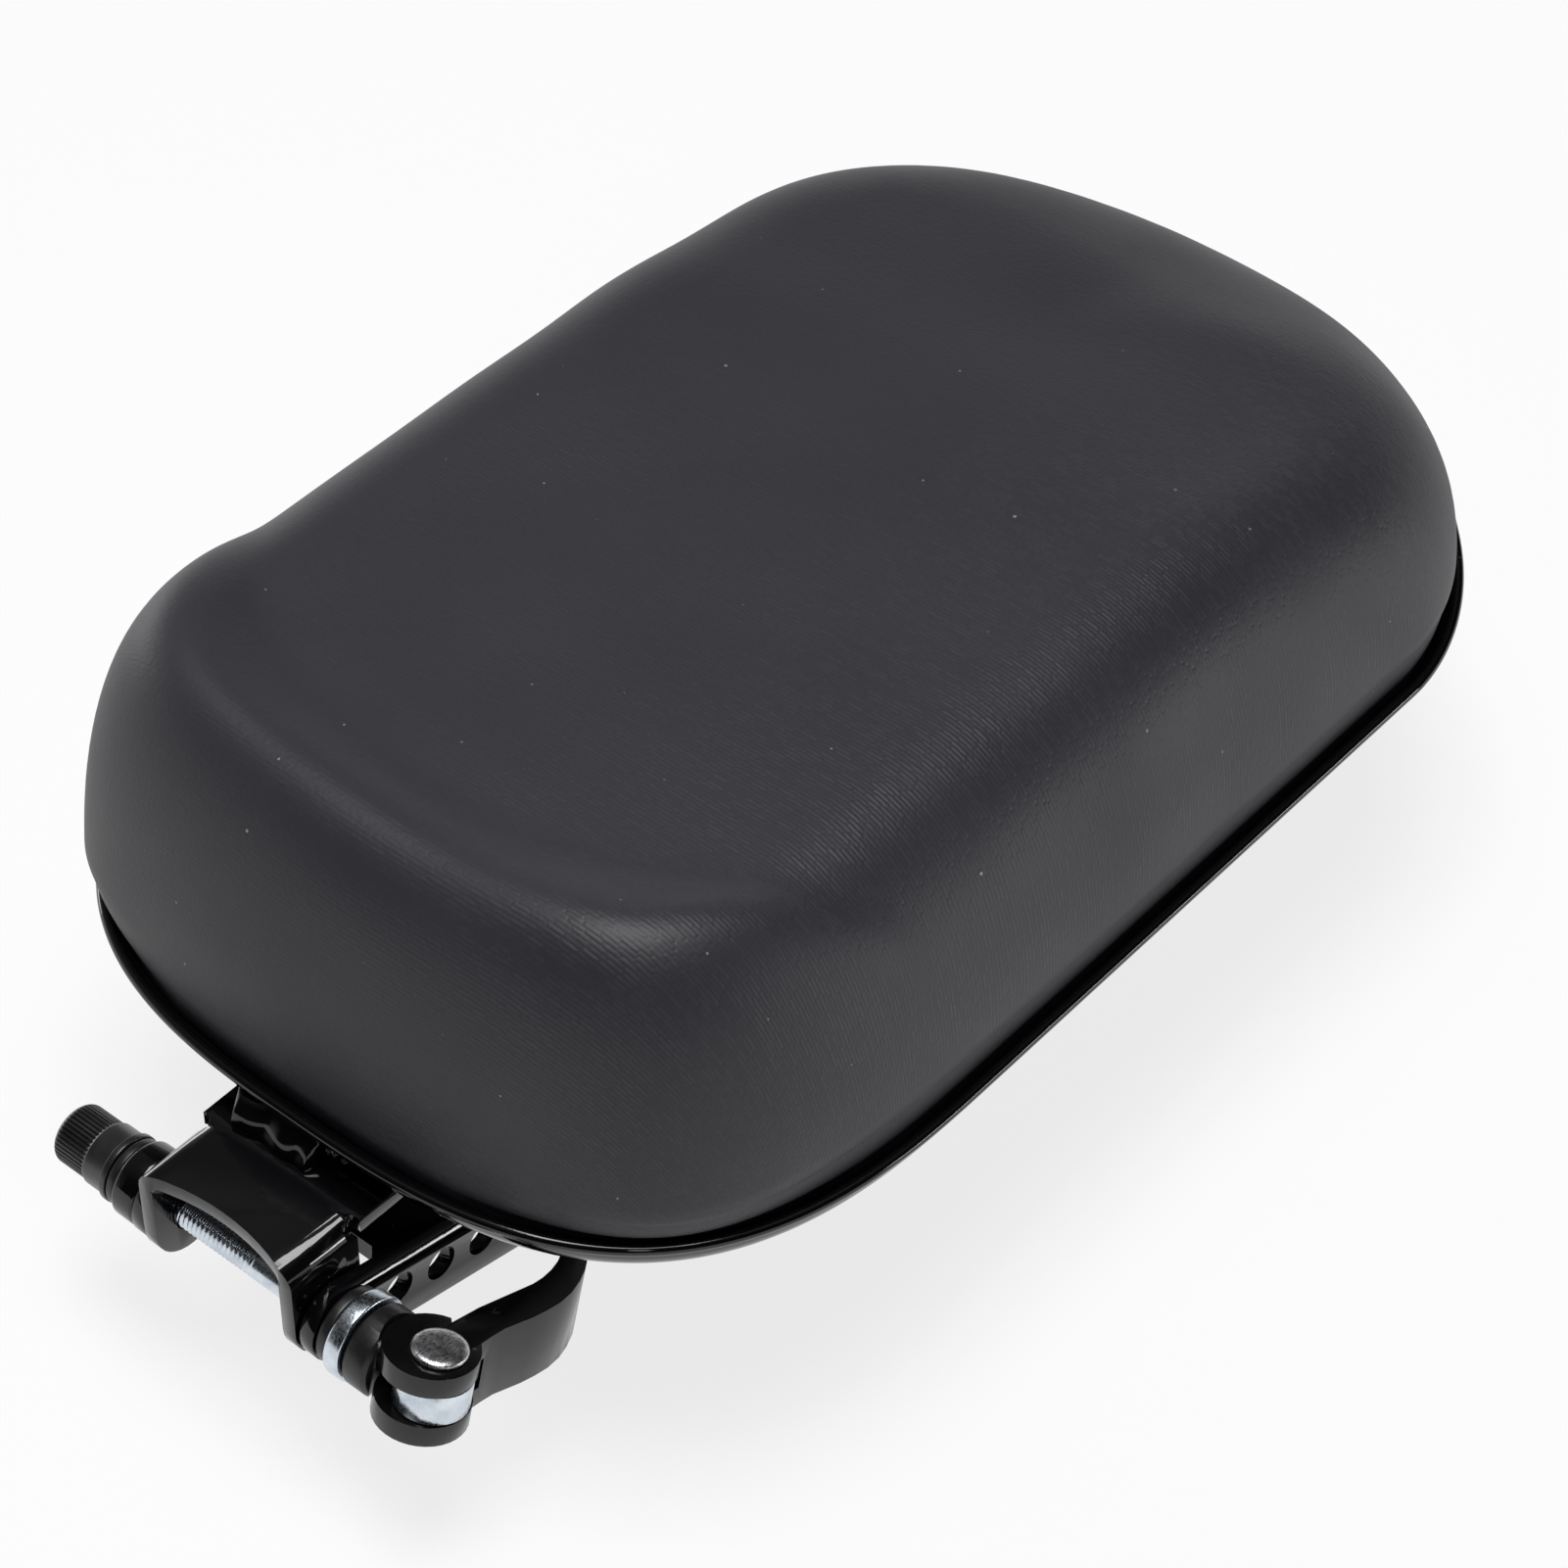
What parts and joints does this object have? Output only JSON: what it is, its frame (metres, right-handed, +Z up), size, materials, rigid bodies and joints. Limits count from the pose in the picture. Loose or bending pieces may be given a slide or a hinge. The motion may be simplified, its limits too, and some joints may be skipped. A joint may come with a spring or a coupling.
{
  "type": "front child bike seat",
  "caption": "Small padded seat in a black steel pan, tilting on a quick release skewer between the arms of a perforated mounting channel.",
  "frame": {"origin": "on the underside of the mounting channel's web, 60 mm behind the pivot along the channel", "axes": "+X towards the quick release lever, +Y from the clamp towards the back of the seat, +Z up, square to the rim of the pan"},
  "size_m": [0.166, 0.3004, 0.1188],
  "materials": {
    "cover": "black imitation leather, matt on top, satin at the sides",
    "board": "bare plywood",
    "pan_paint": "gloss black paint",
    "bracket_paint": "gloss black paint",
    "black_plastic": "moulded black plastic",
    "zinc": "bright zinc plate",
    "lever_alloy": "black coated, satin",
    "pin_steel": "polished steel with fine scratches"
  },
  "bodies": {
    "channel": {"outer_channel": "bracket_paint", "left_spacer": "bracket_paint", "right_spacer": "black_plastic", "nut_washer": "black_plastic", "zinc_washer": "zinc"},
    "seat": {"seat_cushion": "cover", "base_board": "board", "seat_pan": "pan_paint", "inner_bracket": "bracket_paint", "weld_front": "bracket_paint", "weld_left": "bracket_paint", "weld_right": "bracket_paint", "tee_nut_1": "zinc", "tee_nut_2": "zinc", "tee_nut_3": "zinc", "tee_nut_4": "zinc", "pan_screw_1": "zinc", "pan_screw_2": "zinc", "pan_screw_3": "zinc", "pan_screw_4": "zinc", "pan_washer_1": "zinc", "pan_washer_2": "zinc", "pan_washer_3": "zinc", "pan_washer_4": "zinc"},
    "skewer": {"pivot_rod": "zinc", "cam_cup": "black_plastic", "barrel_drum": "zinc"},
    "nut": {"knurled_nut": "lever_alloy"},
    "lever": {"qr_lever": "lever_alloy", "lever_pin": "pin_steel"}
  },
  "joints": [
    {"name": "seat_tilt", "type": "hinge", "parent": "channel", "child": "seat", "pos_m": [0, -0.05912, 0.01118], "axis": [1, 0, 0], "range_deg": [-15, 75]},
    {"name": "skewer_turn", "type": "hinge", "parent": "channel", "child": "skewer", "pos_m": [0, -0.05912, 0.01118], "axis": [1, 0, 0], "range_deg": [-150, 8]},
    {"name": "lever_open", "type": "hinge", "parent": "skewer", "child": "lever", "pos_m": [0.0416, -0.05912, 0.01118], "axis": [0, -0.2588, -0.9659], "range_deg": [0, 110]},
    {"name": "nut_turn", "type": "hinge", "parent": "skewer", "child": "nut", "pos_m": [0, -0.05912, 0.01118], "axis": [1, 0, 0], "continuous": true}
  ]
}
